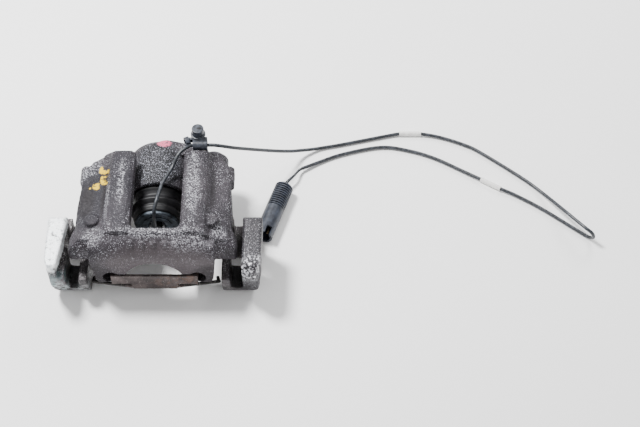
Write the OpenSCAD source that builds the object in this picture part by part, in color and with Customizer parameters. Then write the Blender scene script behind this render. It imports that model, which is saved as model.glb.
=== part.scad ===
// Sliding disc brake caliper on its carrier, with the pad wear sensor's lead.
// Millimetres. X runs across the carrier, Y along the piston towards the hose side,
// Z outwards from the wheel's centre. The sub-parts are drawn about the centre of the
// piston's face, and place() stands them on z = 0.

/* [Brake size] */
// Diameter of the piston
piston_d = 36; // [34:1:37]
// Diameter of the brake disc that runs through the caliper
disc_d = 300; // [296:1:304]
// Thickness of the brake disc
disc_t = 10; // [8:1:11]
// Height of the piston's centre over the base
axis_h = 32; // [32:1:34]

/* [Carrier] */
// Width over the carrier's two arms
carrier_w = 174; // [172:1:178]
// Width of one arm over the disc
arm_w = 16; // [14:1:17]
// Height of the arms' top over the piston's centre
arm_top = 18; // [16:1:20]
// Distance between the two mounting holes
mount_spacing = 100; // [98:1:102]
// Radius of a mounting hole's thread core, for M12
mount_r = 5.1; // [4.2:0.1:5.2]

/* [Guide pins] */
// Distance between the two guide pins
pin_spacing = 81; // [80:0.5:82]
// Diameter of a guide pin
pin_d = 10; // [9:0.5:10]

/* [Housing] */
// Diameter of the cylinder's outside
cylinder_d = 56; // [54:1:56]
// Width of the window over the piston
window_w = 40; // [36:1:40]
// Height of the raised bands beside the window, over the piston's centre
band_top = 39.5; // [38:0.5:41]
// Distance of the fingers' outer face from the piston's face
finger_front = 46.5; // [46:0.5:48]
// Thickness of the fingers along the piston
finger_t = 19.5; // [18:0.5:20]

/* [Sensor lead] */
// Diameter of the lead
lead_d = 3; // [2.8:0.1:3.2]
// Diameter of the plug
plug_d = 15.6; // [14:0.2:16]
// Length of the plug
plug_l = 56; // [54:1:60]

/* [Hidden] */
$fn = 64;
eps = 0.5;
floor_z = -axis_h;

// Disc: its centre lies below the piston, and it runs between two planes of constant y.
disc_centre_z = -126;
disc_mid = -17;
disc_gap_r = disc_d / 2 + 3;
disc_gap = disc_t + 4;

// Carrier
arm_out = carrier_w / 2;
arm_in = arm_out - arm_w;
arm_front = -55;
arm_back = -2;
ear_back = 16;
slot_floor = floor_z + 11;
slot_in = 61;
leg_in = 54;
leg_top = -4;
shelf_z = -5;
plate_front = 5;
plate_in = 33;
crossbar_top = -25;
crossbar_back = 6;
mount_z = -19;

// Guide pins and the bosses they run in
pin_shift = 3.5;
pin_r = pin_d / 2;
pin_z = 6;
pin_thread_r = pin_r - 0.8;
pin_end = 51;
pin_run = 0.04;
boss_r = 12.5;
boss_front = 30;
boss_back = 64;
bush_r = 8;
bush_back = 60;
cap_back = 68;

// Housing
finger_back = -finger_front + finger_t;
bridge_back = 48.5;
front_face_w = 50;
shoulder_r = 19;
shoulder_z = 18;
finger_low = -15;
arch_r = 24;
arch_z = -10;
top_bosses = [[-48.4, -16.5, 33.5], [46.6, -18, 36]];
eye_x = 34.5;
eye_z = -6;
eye_r = 7;
eye_depth = 13;
wire_r = 1.5;
wire_y = -finger_front;
wire_z = -18.6;
wire_l = 36.5;
wire_lean = 8;
cylinder_r = cylinder_d / 2;
cylinder_front = 23.6;
cylinder_back = 73.5;
dome_r = 13;
port_back = 74.5;
port_x = -11;
port_z = 4;
port_r = 4.5;
chamber_end = 66;
mouth_r = 24;
mouth_end = 32;
bead_r = 25.2;
bead_t = 2.5;
seal_start = 34.5;
seal_t = 3.7;
seal_r = 20.8;

// Piston
piston_r = piston_d / 2;
piston_run = 0.04;
piston_l = 42;
recess_r = 6.5;
recess_l = 16;
groove_start = 3;
groove_t = 2.5;
groove_r = piston_r - 1.4;

// Bleed screw and its cap
bleed_x = 33.3;
bleed_y = 62;
bleed_r = 4;
bleed_seat = 17.5;
bleed_boss_low = 16;
bleed_boss_top = 23;
passage_tilt = 104;
nipple_r = 3;
barb_r = 3.7;
barb_z = 34;
cap_r = 4.9;
cap_bore_r = barb_r + 0.05;
cap_low = 30;
cap_top = 51;
clip_x = 35;
clip_y = 55;
clip_z = 38;
clip_r = 4.4;
clip_w = 12;
ring_centre = [24, 60, 36];
ring_r = 4.4;
ring_hole_r = 2.8;
ring_w = 4;

// The whole part is centred on its base without the loose lead.
y_mid = (arm_front + port_back) / 2;
lead_r = lead_d / 2;
plug_r = plug_d / 2;
plug_turn = -18.5;
plug_mouth = [85.6, -2.5];
grip_l = 26;
sleeve_r = lead_r + 0.6;
core_r = 0.7;

// Lead from the sensor to the cap's clip, about the piston's face.
upper_route = [
    [-1.5, -4.6, 1], [-1.5, -6.5, 9], [-0.7, -6, 17.5], [0, -3, 27], [1.9, 4, 31.2], [3.4, 12, 31.2],
    [5.3, 20, 31.3], [7.3, 25, 31.5], [12.4, 36, 31.9], [17, 45.5, 36.5], [22.5, 51, 38.3],
    [28.5, clip_y, clip_z], [35, clip_y, clip_z], [clip_x + clip_w / 2, clip_y, clip_z]
];

// Lead from the clip over the surface to the plug, in the part's own frame.
lead_route = [
    [41.05, 45.25, 70], [44.5, 45.25, 70], [48.5, 45.3, 69.6], [55, 46.8, 66.3], [63.6, 51, 59],
    [84.9, 66.2, 37], [98.9, 76.3, 23], [109, 84.2, 13], [115.8, 88.9, 8], [126.3, 93.7, 3.6],
    [136, 97, 1.8], [151.8, 100.5, 1.6], [193, 110.4, 1.8], [203, 112.2, 2.2], [213, 112.6, 2.2],
    [223, 112.2, 2.2], [240, 108.6, 1.7], [261, 100, 1.6], [275, 91, 1.6], [308, 63.7, 1.7],
    [324.1, 46.4, 3.2], [340.9, 18.9, 12.6], [346, 11.7, 14], [354.3, 0.1, 16.4], [359.8, -3.4, 13.6],
    [361.9, -3.1, 7.3], [359.3, 0.7, 2.2], [350.7, 7.7, 1.6], [322.9, 30.2, 1.6], [302, 44.4, 1.7],
    [288.7, 51.5, 2.2], [280.6, 56.6, 2.2], [272.5, 61.6, 2.2], [256.9, 71.4, 1.7], [234, 85, 1.6],
    [212, 93.5, 1.6], [187, 97.6, 1.6], [154, 90, 1.6], [133, 81, 1.8]
];
sheath_end = [118, 72.5, 3.6];

// A solid drawn in (x, z), from y0 to y1.
module along_y(y0, y1) translate([0, y1, 0]) rotate([90, 0, 0]) linear_extrude(y1 - y0) children();

// A solid drawn in (y, z), from x0 to x1.
module along_x(x0, x1) translate([x0, 0, 0]) rotate([90, 0, 90]) linear_extrude(x1 - x0) children();

// A solid turned about the piston's axis, drawn in (radius, y).
module about_y() rotate([-90, 0, 0]) rotate_extrude($fn = 96) children();

module rod_y(r, y0, y1) translate([0, y0, 0]) rotate([-90, 0, 0]) cylinder(r = r, h = y1 - y0);

module place() translate([0, -y_mid, axis_h]) children();

function pin_x(side) = side * pin_spacing / 2 + pin_shift;

module at_pin(side) translate([pin_x(side), 0, pin_z]) children();

module at_pins() for (side = [-1, 1]) at_pin(side) children();

module both_sides() {
    children();
    mirror([1, 0, 0]) children();
}

function arc(centre, r, from, to, steps) =
    [for (i = [0:steps]) let (a = from + (to - from) * i / steps) centre + r * [cos(a), sin(a)]];

// Tubes: a smooth curve through the route's points, then rings square to it.
function smooth_at(p, i, t) =
    let (n = len(p) - 1, a = p[max(i - 1, 0)], b = p[i], c = p[min(i + 1, n)], d = p[min(i + 2, n)])
    0.5 * (2 * b + (c - a) * t + (2 * a - 5 * b + 4 * c - d) * t * t + (3 * b - a - 3 * c + d) * t * t * t);
function smooth(p, steps) = concat(
    [for (i = [0:len(p) - 2], s = [0:steps - 1]) smooth_at(p, i, s / steps)], [p[len(p) - 1]]);
function unit(v) = v / norm(v);
function heading(p, i) = unit(p[min(i + 1, len(p) - 1)] - p[max(i - 1, 0)]);
function next_side(side, dir) = unit(side - (side * dir) * dir);
function sides(p, i, side) =
    let (s = next_side(side, heading(p, i))) i == len(p) - 1 ? [s] : concat([s], sides(p, i + 1, s));

module tube(p, r, up = [0, 0, 1], n = 8) {
    frames = sides(p, 0, up);
    points = [for (i = [0:len(p) - 1], k = [0:n - 1])
        let (s = frames[i], t = cross(heading(p, i), s), a = 360 * k / n)
        p[i] + r * (cos(a) * s + sin(a) * t)];
    walls = [for (i = [0:len(p) - 2], k = [0:n - 1])
        let (a = i * n + k, b = i * n + (k + 1) % n) each [[a, b, b + n], [a, b + n, a + n]]];
    last = (len(p) - 1) * n;
    ends = [for (k = [1:n - 2]) each [[0, k + 1, k], [last, last + k, last + k + 1]]];
    polyhedron([for (q = points) q], [for (f = concat(walls, ends)) [f[0], f[2], f[1]]]);
}

// ---- Carrier ----

module ear_outline() polygon([
    [leg_in, floor_z], [arm_out - 8, floor_z], [arm_out - 4, floor_z + 7], [arm_out, 4],
    [arm_out, arm_top - 2], [arm_out - 2, arm_top], [arm_in + 2, arm_top], [arm_in, arm_top - 2],
    [arm_in, slot_floor + 2], [arm_in - 2, slot_floor], [slot_in + 1, slot_floor],
    [slot_in, slot_floor + 1], [slot_in, leg_top - 1], [slot_in - 1, leg_top], [leg_in, leg_top]
]);

module ear_side() polygon([
    [arm_front + 14, floor_z], [arm_front + 11, floor_z + 4], [arm_front, 6], [arm_front + 1, arm_top - 4],
    [arm_front + 5, arm_top], [arm_back - 2, arm_top], [arm_back, arm_top - 2], [arm_back, shelf_z],
    [12, shelf_z], [12, slot_floor], [ear_back, slot_floor], [ear_back, floor_z]
]);

module ear_plan() polygon([
    [leg_in - eps, arm_front - eps], [arm_in + 5, arm_front - eps], [arm_out - 5, arm_front + 1],
    [arm_out - 1, arm_front + 12],
    [arm_out, arm_back], [76.5, arm_back], [76.5, ear_back], [leg_in - eps, ear_back]
]);

module carrier_ear() intersection() {
    along_y(arm_front, ear_back) ear_outline();
    along_x(leg_in, arm_out) ear_side();
    translate([0, 0, floor_z]) linear_extrude(60) ear_plan();
    carrier_hook_taper();
}

// The arm's inner edge leans outwards towards the hook.
module carrier_hook_taper() translate([0, 0, floor_z]) linear_extrude(60) polygon([
    [leg_in - eps, ear_back + eps], [leg_in - eps, arm_front + 5], [slot_in + 9, arm_front + 5],
    [arm_in + 5, arm_front - eps], [arm_out + eps, arm_front - eps], [arm_out + eps, ear_back + eps]
]);

// The left arm's inner edge is ground back above the pad's ear.
module left_arm_relief() translate([0, 0, 6]) linear_extrude(20) polygon([
    [-arm_in + eps, -8], [-arm_in, -8], [-76, -52], [-76, arm_front - eps], [-arm_in + eps, arm_front - eps]
]);

module pin_plate(side) mirror([side < 0 ? 1 : 0, 0, 0]) along_y(plate_front, ear_back)
    let (x = abs(pin_x(side))) polygon([
        [plate_in, floor_z], [62, floor_z], [62, -10], [x + 15, 4], [x + 9, 14], [x + 4, 17.5],
        [x - 4, 17.5], [x - 8, 14.5], [x - 9, 8], [plate_in - 4, -12], [plate_in - 2, -20],
        [plate_in - 4, crossbar_top], [plate_in - 4, floor_z]
    ]);

module carrier() color("#8d8a86") place() difference() {
    union() {
        both_sides() {
            carrier_ear();
            translate([mount_spacing / 2, 0, mount_z]) rod_y(mount_r + 6, plate_front, ear_back + 1.5);
        }
        for (side = [-1, 1]) pin_plate(side);
        along_y(-8, crossbar_back) translate([-leg_in - eps, floor_z])
            square([2 * (leg_in + eps), crossbar_top - floor_z]);
    }
    translate([0, 0, disc_centre_z])
        rod_y(disc_gap_r, disc_mid - disc_gap / 2, disc_mid + disc_gap / 2, $fn = 256);
    rod_y(cylinder_r + 1.5, crossbar_back + eps, ear_back + eps, $fn = 96);
    both_sides() translate([mount_spacing / 2, 0, mount_z]) rod_y(mount_r, plate_front - eps, ear_back + 2);
    at_pins() rod_y(pin_thread_r, plate_front - eps, ear_back + eps);
    left_arm_relief();
}

// ---- Guide pins ----

module guide_pin(side) color("silver") place() at_pin(side) difference() {
    union() {
        rod_y(pin_thread_r, plate_front + 1, ear_back);
        rod_y(pin_r, ear_back, pin_end);
    }
    translate([0, pin_end - 6, 0]) rotate([-90, 0, 0]) cylinder(r = 3.6, h = 7, $fn = 6);
}

module guide_pin_left() guide_pin(-1);
module guide_pin_right() guide_pin(1);

// ---- Housing ----

// The bridge's top, in (x, z): raised bands beside the window, lower panels outside them.
module bridge_outline() polygon([
    [-60, 10], [-62.5, 14], [-62.5, 24], [-59, 27.5], [-43, 31], [-40, 32], [-36, 38], [-33.5, band_top],
    [-21, band_top], [-18, band_top - 2], [22, band_top - 2], [25, band_top], [39, band_top], [42, 38],
    [46, 32], [50, 30.5], [59, 28], [62.5, 24.5], [62.5, 14], [60, 10]
]);

// The bridge from above, narrower at the back.
module bridge_plan() polygon([
    [-62.5, finger_back - 7], [62.5, finger_back - 7], [62.5, 2], [60, 34], [58, 41],
    [52, bridge_back + eps], [-42, bridge_back + eps], [-53, bridge_back - 4], [-60, 33], [-62.5, 2]
]);

module bridge() difference() {
    intersection() {
        along_y(finger_back - 6, bridge_back) bridge_outline();
        linear_extrude(60) bridge_plan();
    }
    translate([0, 0, disc_centre_z]) rod_y(disc_gap_r, finger_back - 7, bridge_back + eps, $fn = 256);
}

// Front block, in (y, z): the fingers with the curved shoulder over them.
module finger_side() polygon(concat(
    [[finger_back, finger_low], [-finger_front + 3, finger_low], [-finger_front, finger_low + 3]],
    arc([-finger_front + shoulder_r, shoulder_z], shoulder_r, 180, 92, 12),
    [[finger_back, shoulder_z + shoulder_r]]
));

module finger_outline() polygon(concat(
    arc([-38, finger_low + 10], 10, 270, 195, 6),
    [[-front_face_w, 18], [-front_face_w, 29], [-43, 31], [-36, 37.5], [36, 37.5], [43, 31],
     [front_face_w, 30], [front_face_w, 18]],
    arc([38, finger_low + 10], 10, 345, 270, 6)
));

module finger_block() intersection() {
    along_x(-front_face_w, front_face_w) finger_side();
    along_y(-finger_front, finger_back) finger_outline();
}

// Side nose, in (y, z), under the front end of an outer panel.
module nose_side() polygon(concat(
    [[-18, 12], [-34, 5], [-38, 8]],
    arc([-26, 17], 12, 180, 100, 6),
    [[-18, 28]]
));

module nose() difference() {
    intersection() {
        along_x(40, 67) nose_side();
        along_y(-40, -17) polygon([
            [40, 5], [64.5, 5], [67, 8], [67, 19], [64.5, 23], [58, 27.5], [40, 31]
        ]);
        linear_extrude(40) polygon([[40, -40], [64.5, -40], [67, -36], [67, -26], [61, -17], [40, -17]]);
    }
    translate([0, 0, disc_centre_z]) rod_y(disc_gap_r, finger_back, -16, $fn = 256);
}

module cylinder_body() about_y() polygon(concat(
    [[0, cylinder_front], [cylinder_r - 1, cylinder_front], [cylinder_r, cylinder_front + 1]],
    arc([cylinder_r - dome_r, cylinder_back - dome_r], dome_r, 0, 90, 12),
    [[0, cylinder_back]]
));

// Webs from the cylinder to the outer panel, and the square pad on the side.
module side_web() {
    along_y(boss_front, bridge_back - 2) polygon([
        [24, 2], [34, -2], [42, 0], [53, 6], [55, 20], [53, 27], [26, 30], [24, 24]
    ]);
    along_y(27, 42) polygon([[50, 17], [54, 13], [60.5, 12], [63, 15], [63, 24], [60, 27], [50, 27]]);
}

module bleed_boss() {
    translate([bleed_x, bleed_y, bleed_boss_low]) cylinder(r = 7, h = bleed_boss_top - bleed_boss_low);
    along_y(bleed_y - 5.5, bleed_y + 7.5) polygon([
        [6, 4], [26, 4], [30, bleed_boss_low], [bleed_x, bleed_boss_low], [bleed_x, 21.5], [22, 22.5],
        [13, 25.5], [6, 27.5], [0, 26]
    ]);
    translate([bleed_x - 2, bleed_y - 6.5, 6]) cube([8, boss_back - bleed_y + 6.5, 12]);
}

// The window, open towards the back so that the cylinder's round top shows between the bands.
module window_cut() translate([2.5 - window_w / 2, finger_back - 0.5, 10]) {
    translate([0, 5, 0]) cube([window_w, bridge_back - finger_back, 40]);
    translate([5, 0, 0]) cube([window_w - 10, 10, 40]);
    for (x = [5, window_w - 5]) translate([x, 5, 0]) cylinder(r = 5, h = 40);
}

module cast_pips() for (i = [-2:2]) translate([2 + 9 * i, shoulder_r - finger_front, shoulder_z])
    rotate([42, 0, 0]) translate([0, 0, shoulder_r - 2]) cylinder(r = 2.2, h = 3.1);

module caliper_housing() color("#6d625e") place() difference() {
    union() {
        difference() {
            union() {
                bridge();
                finger_block();
                both_sides() nose();
            }
            window_cut();
        }
        cylinder_body();
        at_pins() rod_y(boss_r, boss_front, boss_back);
        both_sides() side_web();
        bleed_boss();
        translate([port_x, 0, port_z]) rod_y(8, cylinder_back - 8, port_back);
        for (b = top_bosses) translate([b.x, b.y, 24]) cylinder(r = 5.6, h = b.z - 24);
        cast_pips();
    }
    // cylinder: mouth for the boot, its bead groove, the bore and the seal's groove
    rod_y(mouth_r, cylinder_front - eps, mouth_end);
    rod_y(bead_r, mouth_end - bead_t, mouth_end);
    rod_y(piston_r + piston_run, mouth_end - eps, chamber_end);
    rod_y(seal_r, seal_start, seal_start + seal_t);
    // guide bushes
    at_pins() rod_y(bush_r, boss_front - eps, boss_back + eps);
    // hose port and its passage
    translate([port_x, 0, port_z]) {
        rod_y(port_r, port_back - 7, port_back + eps);
        rod_y(1.5, chamber_end - eps, port_back);
    }
    // bleed screw's thread, seat and passage
    translate([bleed_x, bleed_y, bleed_seat]) cylinder(r = bleed_r + 0.04, h = 40);
    translate([bleed_x - 1, bleed_y, bleed_seat + 1.3]) rotate([0, -passage_tilt, 0])
        cylinder(r = 1.2, h = 24);
    // arch between the fingers, the retainer's recess and its two eyes
    translate([0, 0, arch_z]) rod_y(arch_r, -finger_front - eps, finger_back + eps);
    along_y(-finger_front - eps, -finger_front + 1.5) translate([-36.5, -14.6]) square([73, 13.4]);
    both_sides() translate([eye_x, 0, eye_z]) rod_y(eye_r, -finger_front - eps, -finger_front + eye_depth);
}

module guide_bush(side) color("#222222") place() at_pin(side) difference() {
    union() {
        rod_y(bush_r, boss_front, bush_back);
        rod_y(bush_r + 2, boss_front - 1.5, boss_front);
    }
    rod_y(pin_r + pin_run, boss_front - 2, bush_back + eps);
}

module guide_bush_left() guide_bush(-1);
module guide_bush_right() guide_bush(1);

module bush_cap(side) color("#1f2530") place() at_pin(side) difference() {
    union() {
        rod_y(bush_r - 0.3, bush_back + 0.3, boss_back + eps);
        about_y() polygon(concat(
            [[0, boss_back + 0.2], [bush_r + 1.2, boss_back + 0.2]],
            arc([bush_r - 1.2, cap_back - 2.4], 2.4, 0, 90, 6),
            [[0, cap_back]]
        ));
    }
    rod_y(pin_r + 0.9, bush_back, 66);
}

module bush_cap_left() bush_cap(-1);
module bush_cap_right() bush_cap(1);

module piston_seal() color("#1b1b1b") place() difference() {
    rod_y(seal_r, seal_start, seal_start + seal_t);
    rod_y(piston_r + 0.05, seal_start - eps, seal_start + seal_t + eps);
}

// Boot: three folds between the piston's groove and the bead in the cylinder's mouth.
boot_wall = 1.1;
boot_folds = [
    [19.4, 5], [20.3, 7.2], [19.6, 9.4], [21.3, 11.2], [22.8, 13.2], [21.6, 15.4], [20.1, 18],
    [21.4, 20.6], [23.3, 23], [22.6, 26], [22.4, mouth_end - bead_t]
];

module dust_boot() color("#151515") place() about_y() polygon(concat(
    [[groove_r + 0.3, groove_start + 0.2], [19.2, groove_start + 0.2]],
    boot_folds,
    [[bead_r, mouth_end - bead_t], [bead_r, mouth_end], [21.3, mouth_end]],
    [for (i = [len(boot_folds) - 1:-1:0]) boot_folds[i] - [boot_wall, 0]],
    [[groove_r + 0.3, groove_start + groove_t - 0.3]]
));

// Spring retainer: a plate in the fingers' recess, with two wire arms out to the carrier's legs.
module retainer_spring() color("#6b5a50") place() {
    along_y(-finger_front - 1, -finger_front + 1.5) polygon([
        [-35, -13.8], [-19, -13.8], [-17.5, -20.5], [17.5, -20.5], [19, -13.8], [35, -13.8],
        [35, -2.4], [-35, -2.4]
    ]);
    both_sides() {
        along_y(-finger_front + 1.5, -finger_front + 10) translate([32.5, -10.5]) square([2.5, 7]);
        translate([15, wire_y, wire_z]) rotate([0, 0, wire_lean]) {
            rotate([0, 90, 0]) cylinder(r = wire_r, h = wire_l);
            translate([wire_l, 0, 0]) sphere(r = wire_r);
            translate([wire_l, 0, 0]) rotate([-90, 0, wire_lean]) cylinder(r = wire_r, h = 5);
        }
    }
}

// ---- Piston and sensor ----

module piston() color("#9a9a9a") place() about_y() polygon([
    [0, recess_l], [recess_r, recess_l], [recess_r, 1.2], [recess_r + 1.2, 0], [12.5, 0], [12.5, 0.8],
    [14, 0.8], [14, 0],
    [piston_r - 0.8, 0], [piston_r, 0.8], [piston_r, groove_start], [groove_r, groove_start],
    [groove_r, groove_start + groove_t], [piston_r, groove_start + groove_t], [piston_r, piston_l - 1],
    [piston_r - 1, piston_l], [0, piston_l]
]);

module sensor_head() color("#17181a") place() {
    rod_y(3.6, 0.5, 13);
    rod_y(4.4, -2.6, 0.5);
}

module sensor_clip() color("#c9c9c9") place() difference() {
    union() {
        rod_y(recess_r - 0.3, 3, 12);
        for (side = [-1, 1]) along_y(-1.4, 3) translate([side * 5.3, 0]) square([1.6, 5], center = true);
    }
    rod_y(4.9, -2, 13);
}

// ---- Bleed screw and cap ----

module bleed_screw() color("#a9a59a") place() translate([bleed_x, bleed_y, 0]) difference() {
    union() {
        translate([0, 0, bleed_seat + 0.5]) cylinder(r1 = 3, r2 = bleed_r, h = 1.5);
        translate([0, 0, bleed_seat + 2]) cylinder(r = bleed_r, h = bleed_boss_top - bleed_seat);
        translate([0, 0, bleed_boss_top + 0.4]) cylinder(r = 5.6, h = 5.2, $fn = 6);
        translate([0, 0, bleed_boss_top + 4]) cylinder(r = nipple_r, h = barb_z - bleed_boss_top - 3);
        translate([0, 0, barb_z]) cylinder(r = barb_r, h = 2);
        translate([0, 0, barb_z + 2]) cylinder(r1 = barb_r, r2 = 2.4, h = 5);
    }
    translate([0, 0, bleed_seat + 3]) cylinder(r = 1.1, h = 40);
}

module bleed_cap() color("#232a35") place() difference() {
    union() {
        translate([bleed_x, bleed_y, cap_low]) cylinder(r = cap_r, h = cap_top - cap_low);
        translate([bleed_x, bleed_y, 42.5]) cylinder(r = cap_r + 1.2, h = 2);
        along_x(clip_x - clip_w / 2, clip_x + clip_w / 2) {
            polygon([
                [clip_y - 3.4, clip_z + 2.8], [clip_y - 0.2, clip_z - 4], [bleed_y - 3, clip_z - 4],
                [bleed_y - 3, 44], [bleed_y - 4.5, 44]
            ]);
            translate([clip_y, clip_z]) circle(clip_r);
        }
        translate(ring_centre) rotate([0, 90, 25]) cylinder(r = ring_r, h = ring_w, center = true);
        translate([ring_centre.x + 0.5, bleed_y - 1.5, clip_z - 4])
            cube([bleed_x - ring_centre.x - 3, 2.5, 4.5]);
    }
    translate([bleed_x, bleed_y, cap_low - eps]) cylinder(r = cap_bore_r, h = barb_z + 9 - cap_low);
    along_x(clip_x - clip_w, clip_x + clip_w) translate([clip_y, clip_z]) circle(lead_r + 0.1);
    translate(ring_centre) rotate([0, 90, 25]) cylinder(r = ring_hole_r, h = ring_w + 1, center = true);
}

// ---- Sensor lead ----

module sensor_lead_upper() color("#2a2e36") place() tube(smooth(upper_route, 3), lead_r, [1, 0, 0]);

module sensor_lead() color("#2a2e36") tube(smooth(concat(lead_route, [sheath_end]), 2), lead_r);

module sleeve(centre, turn) translate([centre.x, centre.y, sleeve_r]) rotate([0, 90, turn]) difference() {
    cylinder(r = sleeve_r, h = 19, center = true);
    cylinder(r = lead_r + 0.15, h = 20, center = true);
}

module lead_sleeves() color("#e8e8e4") {
    sleeve([213, 112.6], 0);
    sleeve([280.6, 56.6], -32);
}

module lead_cores() color("#2a2e36") for (side = [-1, 1])
    tube(smooth([
        sheath_end + [0.6, 0.4, side * 0.8], sheath_end + [-3, -3, 1 + side], [111, 62, 7 + side],
        [104.4, 53.5, plug_r + side * 1.6], [102.8, 48.8, plug_r + side * 1.6]
    ], 3), core_r);

// The plug is drawn along +y from its mouth.
module plug_place() translate([plug_mouth.x, plug_mouth.y, plug_r]) rotate([0, 0, plug_turn]) children();

module plug_grip() color("#1c2029") plug_place() about_y() polygon(concat(
    [[0, plug_l - grip_l], [plug_r - 1.4, plug_l - grip_l]],
    [for (i = [0:10]) let (y = plug_l - grip_l + 0.6 + 2.2 * i)
        each [[plug_r - 1.4, y], [plug_r, y + 0.3], [plug_r, y + 1.3], [plug_r - 1.4, y + 1.6]]],
    [[plug_r - 2.4, plug_l], [0, plug_l]]
));

module plug_shell() color("#2c3444") plug_place() difference() {
    rod_y(plug_r, 0, plug_l - grip_l);
    rod_y(plug_r - 1.8, -eps, 12);
    rotate([0, 30, 0]) translate([-2.4, -eps, 0]) cube([4.8, 8, plug_r + 1]);
}

module plug_contacts() color("#b08d3a") plug_place() for (side = [-1, 1])
    translate([side * 2.4, 0, 0]) rod_y(1.1, 4, 12);

carrier();
guide_pin_left();
guide_pin_right();
caliper_housing();
guide_bush_left();
guide_bush_right();
piston_seal();
dust_boot();
retainer_spring();
bleed_cap();
sensor_lead_upper();
bush_cap_left();
bush_cap_right();
piston();
sensor_head();
sensor_clip();
bleed_screw();
sensor_lead();
lead_sleeves();
lead_cores();
plug_grip();
plug_shell();
plug_contacts();
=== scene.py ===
"""Sliding disc brake caliper with a pad wear sensor's lead, in the CAD's frame. Metres."""
import math

import bmesh
import bpy
import numpy as np
from mathutils import Matrix, Vector, noise


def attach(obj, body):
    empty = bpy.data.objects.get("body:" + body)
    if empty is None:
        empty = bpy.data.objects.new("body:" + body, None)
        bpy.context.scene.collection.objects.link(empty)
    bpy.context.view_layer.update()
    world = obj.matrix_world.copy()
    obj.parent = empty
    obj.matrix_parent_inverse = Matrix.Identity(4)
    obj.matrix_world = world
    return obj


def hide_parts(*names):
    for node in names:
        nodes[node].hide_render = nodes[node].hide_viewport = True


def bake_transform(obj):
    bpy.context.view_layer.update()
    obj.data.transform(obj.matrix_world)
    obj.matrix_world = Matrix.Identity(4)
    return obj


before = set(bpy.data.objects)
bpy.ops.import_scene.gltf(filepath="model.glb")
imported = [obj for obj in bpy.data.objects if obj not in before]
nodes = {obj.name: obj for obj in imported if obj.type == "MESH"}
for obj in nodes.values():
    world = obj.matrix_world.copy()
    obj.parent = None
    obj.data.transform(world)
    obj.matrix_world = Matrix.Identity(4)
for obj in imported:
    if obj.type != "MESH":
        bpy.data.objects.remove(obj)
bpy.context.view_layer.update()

Y_MID = 9.75
AXIS_H = 32.0
SHEATH_R = 0.0015


def at(x, y, z):
    """A point about the piston's face, in millimetres, as a point of the row frame in metres."""
    return Vector((x, y - Y_MID, z + AXIS_H)) / 1000


# ---- Camera ----

camera_data = bpy.data.cameras.new("camera")
camera_data.lens = 81.56
camera_data.sensor_width = 36
camera_data.clip_start = 0.05
camera_data.clip_end = 20
camera = bpy.data.objects.new("camera", camera_data)
camera.location = at(133.3, -690.0, 967.9)
camera.rotation_euler = (math.radians(36), 0, 0)
bpy.context.collection.objects.link(camera)
bpy.context.scene.camera = camera

# ---- Meshes ----


def add(name, verts, faces, smooth=True):
    mesh = bpy.data.meshes.new(name)
    mesh.from_pydata([tuple(v) for v in verts], [], faces)
    mesh.validate()
    obj = bpy.data.objects.new(name, mesh)
    bpy.context.collection.objects.link(obj)
    fix = bmesh.new()
    fix.from_mesh(mesh)
    bmesh.ops.recalc_face_normals(fix, faces=fix.faces)
    fix.to_mesh(mesh)
    fix.free()
    mesh.shade_smooth() if smooth else mesh.shade_flat()
    return obj


def smooth_path(points, steps):
    """The same curve through the points as the CAD's, with its own number of steps."""
    p = [Vector(q) for q in points]
    n = len(p) - 1
    out = []
    for i in range(n):
        a, b, c, d = p[max(i - 1, 0)], p[i], p[min(i + 1, n)], p[min(i + 2, n)]
        for s in range(steps):
            t = s / steps
            bend, twist = 2 * a - 5 * b + 4 * c - d, 3 * b - a - 3 * c + d
            out.append(0.5 * (2 * b + (c - a) * t + bend * t**2 + twist * t**3))
    return out + [p[n]]


def quads(rows, columns, wrap=False):
    """Faces between rows of points, each row closed; wrap joins the last row to the first."""
    faces = []
    for i in range(rows if wrap else rows - 1):
        here, there = i * columns, (i + 1) % rows * columns
        for k in range(columns):
            j = (k + 1) % columns
            faces.append((here + k, here + j, there + j, there + k))
    return faces


def tube(name, path, radius, sides=14, up=(0, 0, 1), flat=None):
    """A round tube along the path; flat(i) gives (side, other) factors where it isn't round."""
    n = len(path)
    side = Vector(up)
    verts = []
    for i, p in enumerate(path):
        head = (path[min(i + 1, n - 1)] - path[max(i - 1, 0)]).normalized()
        side = (side - side.dot(head) * head).normalized()
        other = head.cross(side)
        a, b = flat(i) if flat else (1, 1)
        for k in range(sides):
            t = 2 * math.pi * k / sides
            verts.append(p + radius * (a * math.cos(t) * side + b * math.sin(t) * other))
    ends = [tuple(range(sides)), tuple(range((n - 1) * sides, n * sides))]
    return add(name, verts, quads(n, sides) + ends)


# ---- Cords ----

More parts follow.
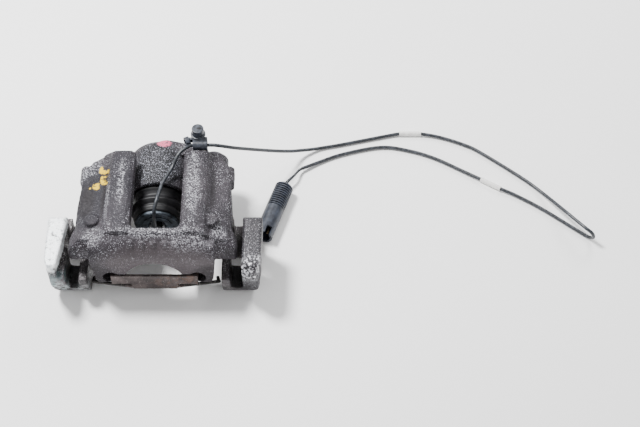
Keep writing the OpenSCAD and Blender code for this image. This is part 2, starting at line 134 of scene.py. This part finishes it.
UPPER_ROUTE = [
    at(*p)
    for p in [
        (-1.5, -4.6, 1), (-1.5, -6.5, 9), (-0.7, -6, 17.5), (0, -3, 27), (1.9, 4, 31.2), (3.4, 12, 31.2),
        (5.3, 20, 31.3), (7.3, 25, 31.5), (12.4, 36, 31.9), (17, 45.5, 36.5), (22.5, 51, 38.3),
        (28.5, 55, 38), (35, 55, 38), (41, 55, 38),
    ]
]
LOOSE_ROUTE = [
    Vector(p) / 1000
    for p in [
        (41.05, 45.25, 70), (44.5, 45.25, 70), (48.5, 45.3, 69.6), (55, 46.8, 66.3), (63.6, 51, 59),
        (84.9, 66.2, 37), (98.9, 76.3, 23), (109, 84.2, 13), (115.8, 88.9, 8), (126.3, 93.7, 3.6),
        (136, 97, 1.8), (151.8, 100.5, 1.6), (193, 110.4, 1.8), (203, 112.2, 2.2), (213, 112.6, 2.2),
        (223, 112.2, 2.2), (240, 108.6, 1.7), (261, 100, 1.6), (275, 91, 1.6), (308, 63.7, 1.7),
        (324.1, 46.4, 3.2), (340.9, 18.9, 12.6), (346, 11.7, 14), (354.3, 0.1, 16.4), (359.8, -3.4, 13.6),
        (361.9, -3.1, 7.3), (359.3, 0.7, 2.2), (350.7, 7.7, 1.6), (322.9, 30.2, 1.6), (302, 44.4, 1.7),
        (288.7, 51.5, 2.2), (280.6, 56.6, 2.2), (272.5, 61.6, 2.2), (256.9, 71.4, 1.7), (234, 85, 1.6),
        (212, 93.5, 1.6), (187, 97.6, 1.6), (154, 90, 1.6), (133, 81, 1.8),
        (118, 72.5, 3.6),
    ]
]
upper_path = smooth_path(UPPER_ROUTE, 6)
loose_path = smooth_path(LOOSE_ROUTE, 6)


def strap(i):
    """The upper lead is a flat strap over the piston's face and narrows upwards."""
    t = min(max((upper_path[i].z - 0.037) / 0.016, 0), 1)
    wide = 1.9 - 0.9 * t * t * (3 - 2 * t)
    return (wide, 1 / wide**0.5)


upper_lead = tube("upper_lead", upper_path, SHEATH_R, up=(1, 0, 0), flat=strap)
loose_lead = tube("loose_lead", loose_path, SHEATH_R)
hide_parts("sensor_lead_upper")
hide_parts("sensor_lead")


def cast(name, node, voxel, smoothing, roughness, scale, bores=(), raised=()):
    """A cast or moulded skin over a CAD node: rounded edges, an uneven surface and raised spots."""
    copy = nodes[node].copy()
    copy.data = nodes[node].data.copy()
    copy.name = name
    bpy.context.collection.objects.link(copy)
    copy.parent = None
    copy.matrix_world = Matrix.Identity(4)
    remesh = copy.modifiers.new("remesh", "REMESH")
    remesh.mode = "VOXEL"
    remesh.voxel_size = voxel
    soften = copy.modifiers.new("soften", "SMOOTH")
    soften.factor = 0.5
    soften.iterations = smoothing
    bpy.context.view_layer.update()
    evaluated = copy.evaluated_get(bpy.context.evaluated_depsgraph_get())
    mesh = bpy.data.meshes.new_from_object(evaluated)
    bpy.data.objects.remove(copy)
    obj = bpy.data.objects.new(name, mesh)
    bpy.context.collection.objects.link(obj)
    mesh.materials.clear()
    normals = np.empty(len(mesh.vertices) * 3)
    mesh.vertices.foreach_get("normal", normals)
    normals = normals.reshape(-1, 3)
    co = np.empty(len(mesh.vertices) * 3)
    mesh.vertices.foreach_get("co", co)
    co = co.reshape(-1, 3)
    shift = Vector((5, 1, 9))
    lift = np.array([
        noise.noise(Vector(c) * scale) + 0.6 * noise.noise(Vector(c) * scale * 2.7 + shift) for c in co
    ])
    for start, end, radius in bores:
        lift *= away_from(co, start, end, radius)
    lift *= roughness
    for centre, radius, height in raised:
        away = np.linalg.norm(co - np.array(centre), axis=1) / radius
        lift += height * np.clip(1.6 - 1.6 * away, 0, 1)
    co += normals * lift[:, None]
    mesh.vertices.foreach_set("co", co.ravel())
    mesh.update()
    mesh.shade_smooth()
    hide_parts(node)
    return obj


def away_from(co, start, end, radius):
    """0 on a machined bore, 1 a little away from it."""
    start, end = np.array(start), np.array(end)
    line = end - start
    t = np.clip((co - start) @ line / (line @ line), 0, 1)
    distance = np.linalg.norm(co - start - t[:, None] * line, axis=1)
    return np.clip((distance - radius - 0.0005) / 0.001, 0, 1)


PIN_XS = (-37, 44)
PISTON_BORE = (at(0, 24, 0), at(0, 66, 0), 0.0252)
PINS = [(at(x, 28, 6), at(x, 64, 6), 0.008) for x in PIN_XS]
BLEEDER = (at(33.3, 62, 17.5), at(33.3, 62, 23), 0.004)
PIPS = [(at(2 + 9 * i, -40.2, 32.1), 0.0030, 0.0007) for i in range(-2, 3)]
housing = cast(
    "housing_casting", "caliper_housing", 0.0008, 3, 0.00020, 260, [PISTON_BORE, *PINS, BLEEDER], PIPS
)
carrier = cast(
    "carrier_casting", "carrier", 0.0009, 3, 0.0002, 240,
    [(at(x, 4, 6), at(x, 17, 6), 0.005) for x in PIN_XS],
)
retainer = cast("retainer_sheet", "retainer_spring", 0.0005, 2, 0.00012, 400)
cap = cast(
    "bleed_cap_rubber", "bleed_cap", 0.0003, 3, 0.00003, 500,
    [(at(33.3, 62, 30), at(33.3, 62, 43), 0.0038)],
)
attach(housing, "housing")
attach(carrier, "carrier")
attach(retainer, "housing")
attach(cap, "housing")


def lathe(name, profile, centre, segments=128):
    """A solid turned about +Y from a closed (radius, y) outline in millimetres."""
    verts = []
    for k in range(segments):
        a = 2 * math.pi * k / segments
        verts += [centre + Vector((r * math.cos(a), y, r * math.sin(a))) / 1000 for r, y in profile]
    return add(name, verts, quads(segments, len(profile), wrap=True))


FOLDS = [
    (19.4, 5), (20.3, 7.2), (19.6, 9.4), (21.3, 11.2), (22.8, 13.2), (21.6, 15.4), (20.1, 18),
    (21.4, 20.6), (23.3, 23), (22.6, 26), (22.4, 29.5),
]
outer = [(p.x, p.y) for p in smooth_path([(r, y, 0) for r, y in FOLDS], 6)]
boot = lathe(
    "boot_rubber",
    [(16.95, 3.2), (19.2, 3.2)] + outer + [(25.1, 29.5), (25.1, 32), (21.3, 32)]
    + [(r - 1.1, y) for r, y in reversed(outer)] + [(16.95, 5.2)],
    at(0, 0, 0),
)
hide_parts("dust_boot")

# ---- Materials ----


class Paint:
    """A procedural material: a few texture helpers over one shader."""

    def __init__(self, name, metallic=0.0, roughness=0.5):
        self.name = name
        self.material = bpy.data.materials.new(name)
        self.material.use_nodes = True
        self.tree = self.material.node_tree
        self.shader = self.tree.nodes["Principled BSDF"]
        self.shader.inputs["Metallic"].default_value = metallic
        self.shader.inputs["Roughness"].default_value = roughness
        self.co = self.node("ShaderNodeTexCoord").outputs["Object"]

    def node(self, kind, **values):
        made = self.tree.nodes.new(kind)
        for key, value in values.items():
            setattr(made, key, value)
        return made

    def link(self, a, b):
        self.tree.links.new(a, b)

    def noise(self, scale, detail=6.0, roughness=0.6, stretch=None):
        made = self.node("ShaderNodeTexNoise")
        made.inputs["Scale"].default_value = scale
        made.inputs["Detail"].default_value = detail
        made.inputs["Roughness"].default_value = roughness
        source = self.co
        if stretch:
            mapping = self.node("ShaderNodeMapping")
            mapping.inputs["Scale"].default_value = stretch
            self.link(self.co, mapping.inputs["Vector"])
            source = mapping.outputs["Vector"]
        self.link(source, made.inputs["Vector"])
        return made.outputs["Fac"]

    def ramp(self, fac, low, high, a=0.0, b=1.0):
        made = self.node("ShaderNodeMapRange")
        made.interpolation_type = "SMOOTHSTEP"
        for key, value in zip(("From Min", "From Max", "To Min", "To Max"), (low, high, a, b)):
            made.inputs[key].default_value = value
        self.link(fac, made.inputs["Value"])
        return made.outputs["Result"]

    def times(self, a, b):
        made = self.node("ShaderNodeMath", operation="MULTIPLY")
        self.link(a, made.inputs[0])
        self.link(b, made.inputs[1])
        return made.outputs["Value"]

    def near(self, centre, inner, outer_r, ragged=0.0, size=(1, 1, 1)):
        """1 within inner of the centre, 0 beyond outer_r, with a ragged edge; size stretches it."""
        away = self.node("ShaderNodeVectorMath", operation="SUBTRACT")
        away.inputs[1].default_value = centre
        self.link(self.co, away.inputs[0])
        scaled = self.node("ShaderNodeVectorMath", operation="DIVIDE")
        scaled.inputs[1].default_value = size
        self.link(away.outputs["Vector"], scaled.inputs[0])
        length = self.node("ShaderNodeVectorMath", operation="LENGTH")
        self.link(scaled.outputs["Vector"], length.inputs[0])
        value = length.outputs["Value"]
        if ragged:
            wobble = self.node("ShaderNodeMath", operation="MULTIPLY_ADD")
            self.link(self.noise(260, 4), wobble.inputs[0])
            wobble.inputs[1].default_value = ragged
            self.link(value, wobble.inputs[2])
            value = wobble.outputs["Value"]
        return self.ramp(value, inner + ragged / 2, outer_r + ragged / 2, 1.0, 0.0)

    def mix(self, fac, a, b):
        made = self.node("ShaderNodeMix", data_type="RGBA")
        self.link(fac, made.inputs[0])
        for value, socket in ((a, made.inputs[6]), (b, made.inputs[7])):
            if isinstance(value, tuple):
                socket.default_value = (*value, 1)
            else:
                self.link(value, socket)
        return made.outputs[2]

    def color(self, value):
        self.link(value, self.shader.inputs["Base Color"])

    def rough(self, fac, low, high):
        self.link(self.ramp(fac, 0.25, 0.75, low, high), self.shader.inputs["Roughness"])

    def bump(self, fac, depth, strength=0.6):
        made = self.node("ShaderNodeBump")
        made.inputs["Strength"].default_value = strength
        made.inputs["Distance"].default_value = depth
        self.link(fac, made.inputs["Height"])
        self.link(made.outputs["Normal"], self.shader.inputs["Normal"])


def wear(obj, paint):
    obj.data.materials.clear()
    obj.data.materials.append(paint.material)


def housing_paint():
    p = Paint("housing_iron", 0.15, 0.6)
    p.shader.inputs["Specular IOR Level"].default_value = 0.3
    coarse, fine = p.noise(38, 5), p.noise(420, 5)
    c = p.mix(p.ramp(coarse, 0.34, 0.66), (0.012, 0.010, 0.014), (0.037, 0.032, 0.038))
    c = p.mix(p.ramp(fine, 0.44, 0.70, 0, 0.6), c, (0.064, 0.056, 0.066))
    c = p.mix(p.ramp(p.noise(900, 3), 0.56, 0.66, 0, 0.6), c, (0.010, 0.008, 0.009))
    # sand-cast sparkle, densest over the cylinder
    speck = p.ramp(p.noise(1350, 2, 0.5), 0.61, 0.67)
    patchy = p.ramp(p.noise(70, 3), 0.40, 0.62, 0.28, 0.85)
    c = p.mix(p.times(speck, patchy), c, (0.66, 0.66, 0.72))
    top = p.near(at(0, 44, 27), 0.016, 0.025, 0.003, (0.95, 1.2, 0.9))
    c = p.mix(p.times(top, p.ramp(p.noise(60, 3), 0.25, 0.5, 0.55, 0.95)), c, (0.010, 0.010, 0.012))
    dense = p.ramp(p.noise(1400, 2, 0.5), 0.595, 0.66)
    c = p.mix(p.times(top, dense), c, (0.42, 0.43, 0.50))
    # warmer and cleaner on the front face; painted shade darkens the left panel and the left band
    front = p.near(at(6, -47, 14), 0.016, 0.040, 0.006, (1.6, 1, 0.7))
    c = p.mix(p.ramp(front, 0, 1, 0, 0.5), c, (0.105, 0.086, 0.092))
    panel_shade = p.near(at(-52, 8, 29), 0.010, 0.021, 0.006, (0.95, 2.1, 1))
    c = p.mix(p.ramp(panel_shade, 0, 1, 0, 0.72), c, (0.005, 0.005, 0.009))
    left_band_shade = p.near(at(-27, 14, 39), 0.008, 0.014, 0.004, (0.9, 4.0, 1))
    c = p.mix(p.ramp(left_band_shade, 0, 1, 0, 0.40), c, (0.008, 0.008, 0.013))
    # painted shade in the grooves beside the bands and on the left panel
    for centre, inner, outer_r, size in [
        (at(46.5, 16, 30), 0.0015, 0.0060, (0.7, 6.0, 1)), (at(-41, 5, 31), 0.0012, 0.0055, (0.6, 6.5, 1)),
        (at(-55, 2, 28), 0.004, 0.013, (0.8, 1.6, 1)), (at(-54, 12, 28), 0.002, 0.010, (0.8, 1.6, 1)),
    ]:
        shade = p.near(centre, inner, outer_r, 0.003, size)
        c = p.mix(p.ramp(shade, 0, 1, 0, 0.75), c, (0.010, 0.008, 0.010))
    # painted shade on the lower corners of the fingers
    for side in (-1, 1):
        corner_shade = p.near(at(side * 46, -46, -2), 0.008, 0.020, 0.004)
        c = p.mix(p.ramp(corner_shade, 0, 1, 0, 0.6), c, (0.012, 0.009, 0.011))
    # pale places: rubbed wear and whitish paint, and painted highlights on the band tops and shoulders
    for centre, inner, outer_r, size in [
        (at(-47, -32, 33), 0.005, 0.012, (1.0, 1, 1)), (at(-37.5, 0, 36), 0.002, 0.0055, (0.6, 5.5, 1)),
        (at(-27, 15, 39.5), 0.003, 0.008, (0.5, 4.2, 1)), (at(31, 15, 39.5), 0.004, 0.010, (0.7, 4.4, 1)),
        (at(-61.5, 34, 21), 0.008, 0.011, (1, 1, 1)), (at(0, -31, 38), 0.004, 0.008, (4.5, 0.8, 1)),
        (at(30, -38, 34), 0.004, 0.014, (1.6, 0.9, 1)), (at(53, -28, 29), 0.003, 0.009, (1, 1.2, 1)),
        (at(-52, 38, 28), 0.004, 0.010, (1.2, 1, 1)),
    ]:
        place = p.near(centre, inner, outer_r, 0.006, size)
        pale_wear_and_highlight = p.times(place, p.ramp(p.noise(900, 3), 0.50, 0.62, 0, 0.8))
        c = p.mix(pale_wear_and_highlight, c, (0.46, 0.46, 0.50))
    for centre, inner, outer_r, size in YELLOW:
        smear = p.times(p.near(centre, inner, outer_r, 0.004, size), p.ramp(p.noise(300, 4), 0.36, 0.44))
        c = p.mix(smear, c, (0.70, 0.46, 0.0))
    pink = p.times(p.near(PINK, 0.0036, 0.0050, 0.003, (1.35, 1, 1)), p.ramp(p.noise(500, 3), 0.34, 0.44))
    c = p.mix(pink, c, (0.60, 0.13, 0.22))
    p.color(c)
    p.rough(fine, 0.46, 0.78)
    p.bump(p.noise(900, 6, 0.7), 0.0005, 0.7)
    return p


YELLOW = [
    (at(*centre), inner, inner + 0.0012, size)
    for centre, inner, size in [
        ((-45.2, 35.6, 29.5), 0.0015, (0.7, 1.4, 2)), ((-43.5, 33, 29.7), 0.0014, (1.6, 0.9, 2)),
        ((-39.8, 31.5, 30.3), 0.0016, (1.4, 1, 2)), ((-36.2, 28.8, 31), 0.0016, (1.2, 1.1, 2)),
        ((-39.4, 26.8, 30.5), 0.0009, (1.8, 0.7, 2)), ((-44, 25.3, 29.6), 0.0013, (0.7, 1.2, 2)),
        ((-42.3, 21.8, 29.7), 0.0012, (1, 1.5, 2)), ((-38.5, 19.8, 30.5), 0.0013, (1.8, 0.7, 2)),
        ((-35, 22.5, 31.2), 0.0013, (0.7, 1.7, 2)), ((-48.1, 18.4, 28.7), 0.0023, (1, 1.15, 2)),
        ((-53.1, 17.3, 28), 0.0004, (1, 1, 2)),
    ]
]
PINK = at(3.7, 66, 27)


def carrier_paint():
    p = Paint("carrier_iron", 0.35, 0.5)
    coarse, fine = p.noise(70, 5), p.noise(520, 5)
    c = p.mix(p.ramp(coarse, 0.35, 0.65), (0.020, 0.017, 0.018), (0.080, 0.070, 0.076))
    speck = p.ramp(p.noise(1400, 2, 0.5), 0.58, 0.68)
    c = p.mix(p.times(speck, p.ramp(p.noise(120, 3), 0.40, 0.6, 0.2, 0.9)), c, (0.6, 0.6, 0.6))
    right_ear = p.near(at(79, -30, 2), 0.026, 0.040, 0.006, (0.7, 1.2, 1))
    c = p.mix(p.ramp(right_ear, 0, 1, 0, 0.8), c, (0.010, 0.009, 0.013))
    bright = p.times(p.ramp(right_ear, 0, 1, 0, 0.9), p.ramp(p.noise(1200, 2, 0.5), 0.62, 0.67))
    c = p.mix(bright, c, (0.50, 0.50, 0.54))
    zinc = p.mix(p.ramp(fine, 0.30, 0.6), (0.62, 0.67, 0.69), (0.95, 0.97, 0.98))
    arm_top = p.near(at(-79, -26, 20), 0.024, 0.028, 0.010, (0.9, 1.25, 0.5))
    left_arm = p.times(arm_top, p.ramp(p.noise(150, 6), 0.30, 0.42))
    c = p.mix(left_arm, c, zinc)
    scuffs = p.times(left_arm, p.ramp(p.noise(330, 5), 0.56, 0.66, 0, 0.8))
    c = p.mix(scuffs, c, (0.16, 0.17, 0.18))
    hook = p.near(at(78, -54, 13), 0.006, 0.020, 0.010, (1.4, 1, 1))
    foot = p.times(hook, p.ramp(p.noise(420, 4), 0.50, 0.60))
    c = p.mix(foot, c, (0.66, 0.66, 0.70))
    hook_left = p.near(at(-80, -46, -22), 0.012, 0.024, 0.010, (1.3, 1, 1))
    foot_left = p.times(hook_left, p.ramp(p.noise(230, 4), 0.47, 0.60))
    c = p.mix(foot_left, c, (0.34, 0.38, 0.39))
    teal = p.times(p.near(at(-80, -50, -4), 0.008, 0.020, 0.010), p.ramp(p.noise(110, 3), 0.46, 0.58, 0, 0.6))
    c = p.mix(teal, c, (0.10, 0.17, 0.18))
    leg = p.near(at(-60, -46, -20), 0.006, 0.014, 0.006)
    inner = p.times(leg, p.ramp(p.noise(260, 4), 0.46, 0.58, 0, 0.7))
    c = p.mix(inner, c, (0.40, 0.40, 0.41))
    # painted shade in the pads' channels
    for side in (-1, 1):
        channel_shade = p.near(at(side * 66, -22, -10), 0.010, 0.015, 0.003, (0.52, 3.2, 1.4))
        c = p.mix(p.ramp(channel_shade, 0, 1, 0, 0.9), c, (0.008, 0.007, 0.007))
    p.color(c)
    p.rough(fine, 0.35, 0.7)
    p.bump(p.noise(1000, 6, 0.7), 0.0004, 0.6)
    return p


def retainer_paint():
    p = Paint("retainer_steel", 0.45, 0.5)
    c = p.mix(p.ramp(p.noise(90, 5), 0.35, 0.65), (0.030, 0.022, 0.022), (0.085, 0.066, 0.064))
    rusty = p.near(at(22, -47, -5), 0.006, 0.022, 0.012, (1.4, 1, 1))
    rust = p.times(rusty, p.ramp(p.noise(200, 5), 0.48, 0.66, 0, 0.45))
    c = p.mix(rust, c, (0.16, 0.085, 0.055))
    wires = p.near(at(0, -44, -19), 0.022, 0.026, 0.0, (1, 1, 1))
    black = p.node("ShaderNodeMath", operation="SUBTRACT")
    black.inputs[0].default_value = 1.0
    p.link(wires, black.inputs[1])
    away = p.times(black.outputs["Value"], p.near(at(0, -42, -19), 0.060, 0.070, 0, (1, 1, 0.06)))
    c = p.mix(away, c, (0.020, 0.018, 0.018))
    c = p.mix(p.ramp(p.noise(1200, 2), 0.62, 0.7, 0, 0.5), c, (0.5, 0.46, 0.44))
    p.color(c)
    p.bump(p.noise(800, 6, 0.7), 0.0003)
    return p


def rubber_paint(name, dark, light, low=0.3, high=0.55, scale=300, dusty=0.25):
    p = Paint(name, 0.0, 0.45)
    grain = p.noise(scale, 5)
    c = p.mix(p.ramp(grain, 0.4, 0.7), dark, light)
    dust = p.ramp(p.noise(scale * 3, 4), 0.60, 0.75, 0, dusty)
    p.color(p.mix(dust, c, (0.35, 0.34, 0.33)))
    p.rough(grain, low, high)
    p.bump(p.noise(scale * 4, 4), 0.00012, 0.4)
    return p


def steel_paint(name, dark, light, metallic, low, high, rings=None, stain=None):
    p = Paint(name, metallic, 0.4)
    grain = p.noise(260, 5)
    c = p.mix(p.ramp(grain, 0.35, 0.68), dark, light)
    if stain:
        c = p.mix(p.ramp(p.noise(140, 4), 0.52, 0.66, 0, 0.8), c, stain)
    p.color(c)
    p.rough(grain, low, high)
    if rings:
        turned = p.node("ShaderNodeTexWave", wave_type="RINGS", rings_direction="Y")
        turned.inputs["Scale"].default_value = rings
        turned.inputs["Distortion"].default_value = 0.4
        shift = p.node("ShaderNodeVectorMath", operation="SUBTRACT")
        shift.inputs[1].default_value = at(0, 0, 0)
        p.link(p.co, shift.inputs[0])
        p.link(shift.outputs["Vector"], turned.inputs["Vector"])
        p.bump(turned.outputs["Fac"], 0.00008, 0.5)
    else:
        p.bump(p.noise(1100, 4), 0.00010, 0.4)
    return p


wear(housing, housing_paint())
wear(carrier, carrier_paint())
wear(retainer, retainer_paint())
cap_paint = rubber_paint("cap_rubber", (0.016, 0.019, 0.027), (0.045, 0.053, 0.072), 0.32, 0.55)
# painted shade of a dimple in the cap's top
dimple_shade = cap_paint.near(at(34.6, 62, 51.2), 0.0011, 0.0015, 0, (1.6, 0.8, 1))
plain = cap_paint.shader.inputs["Base Color"].links[0].from_socket
cap_paint.color(cap_paint.mix(dimple_shade, plain, (0.002, 0.002, 0.003)))
wear(cap, cap_paint)
wear(boot, rubber_paint("boot_rubber", (0.003, 0.003, 0.004), (0.007, 0.007, 0.009), 0.48, 0.62, 220, 0.04))
sheath = rubber_paint("lead_sheath", (0.012, 0.014, 0.018), (0.040, 0.046, 0.058), 0.30, 0.5, 400, 0.15)
wear(upper_lead, sheath)
wear(loose_lead, sheath)
wear(nodes["lead_cores"], sheath)
plug_look = rubber_paint("plug_plastic", (0.010, 0.013, 0.022), (0.030, 0.038, 0.058), 0.34, 0.55, 240, 0.1)
wear(nodes["plug_grip"], plug_look)
wear(nodes["plug_shell"], plug_look)
# brass contacts, darkened with painted shade for their depth in the plug
wear(
    nodes["plug_contacts"],
    steel_paint("contact_brass", (0.10, 0.08, 0.05), (0.20, 0.16, 0.09), 1.0, 0.35, 0.5),
)
wear(
    nodes["lead_sleeves"],
    rubber_paint("sleeve_plastic", (0.72, 0.71, 0.69), (0.86, 0.86, 0.84), 0.4, 0.6, 300, 0.05),
)
wear(nodes["sensor_head"], rubber_paint("sensor_plastic", (0.008, 0.008, 0.009), (0.02, 0.02, 0.022)))
wear(nodes["sensor_clip"], steel_paint("clip_steel", (0.45, 0.45, 0.46), (0.8, 0.8, 0.82), 1.0, 0.2, 0.4))
wear(
    nodes["piston"],
    steel_paint("piston_steel", (0.030, 0.036, 0.044), (0.10, 0.12, 0.145), 0.7, 0.34, 0.55, 900),
)
RUST = (0.22, 0.11, 0.05)
wear(
    nodes["bleed_screw"],
    steel_paint("bleed_steel", (0.16, 0.12, 0.09), (0.42, 0.38, 0.33), 0.8, 0.35, 0.6, stain=RUST),
)
pin_look = steel_paint("pin_steel", (0.30, 0.30, 0.31), (0.5, 0.5, 0.51), 0.9, 0.3, 0.5)
bush_look = rubber_paint("bush_rubber", (0.010, 0.010, 0.011), (0.03, 0.03, 0.031))
cap_look = rubber_paint("bush_cap", (0.012, 0.014, 0.020), (0.035, 0.040, 0.052))
for side in ("left", "right"):
    wear(nodes["guide_pin_" + side], pin_look)
    wear(nodes["guide_bush_" + side], bush_look)
    wear(nodes["bush_cap_" + side], cap_look)
wear(nodes["piston_seal"], bush_look)

# ---- Soft pieces across the joints ----

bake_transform(boot)
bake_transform(upper_lead)
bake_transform(loose_lead)

# ---- Floor and light ----

floor = add("floor", [(-3, -3, -0.0003), (3, -3, -0.0003), (3, 3, -0.0003), (-3, 3, -0.0003)], [(0, 1, 2, 3)])
floor_look = Paint("floor", 0.0, 0.7)
floor_look.shader.inputs["Base Color"].default_value = (0.98, 0.98, 0.98, 1)
floor.data.materials.append(floor_look.material)

world = bpy.data.worlds.new("studio")
world.use_nodes = True
world.node_tree.nodes["Background"].inputs["Color"].default_value = (1, 1, 1, 1)
world.node_tree.nodes["Background"].inputs["Strength"].default_value = 0.8
bpy.context.scene.world = world


def lamp(name, place, target, size, watts):
    data = bpy.data.lights.new(name, "AREA")
    data.shape = "DISK"
    data.size = size
    data.energy = watts
    obj = bpy.data.objects.new(name, data)
    obj.location = place
    obj.rotation_euler = (Vector(target) - Vector(place)).to_track_quat("-Z", "Y").to_euler()
    bpy.context.collection.objects.link(obj)


lamp("key", (-0.45, 0.35, 1.1), (0.05, 0, 0), 0.30, 36)
lamp("rim", (0.6, 0.9, 0.7), (0.1, 0, 0), 0.5, 8)
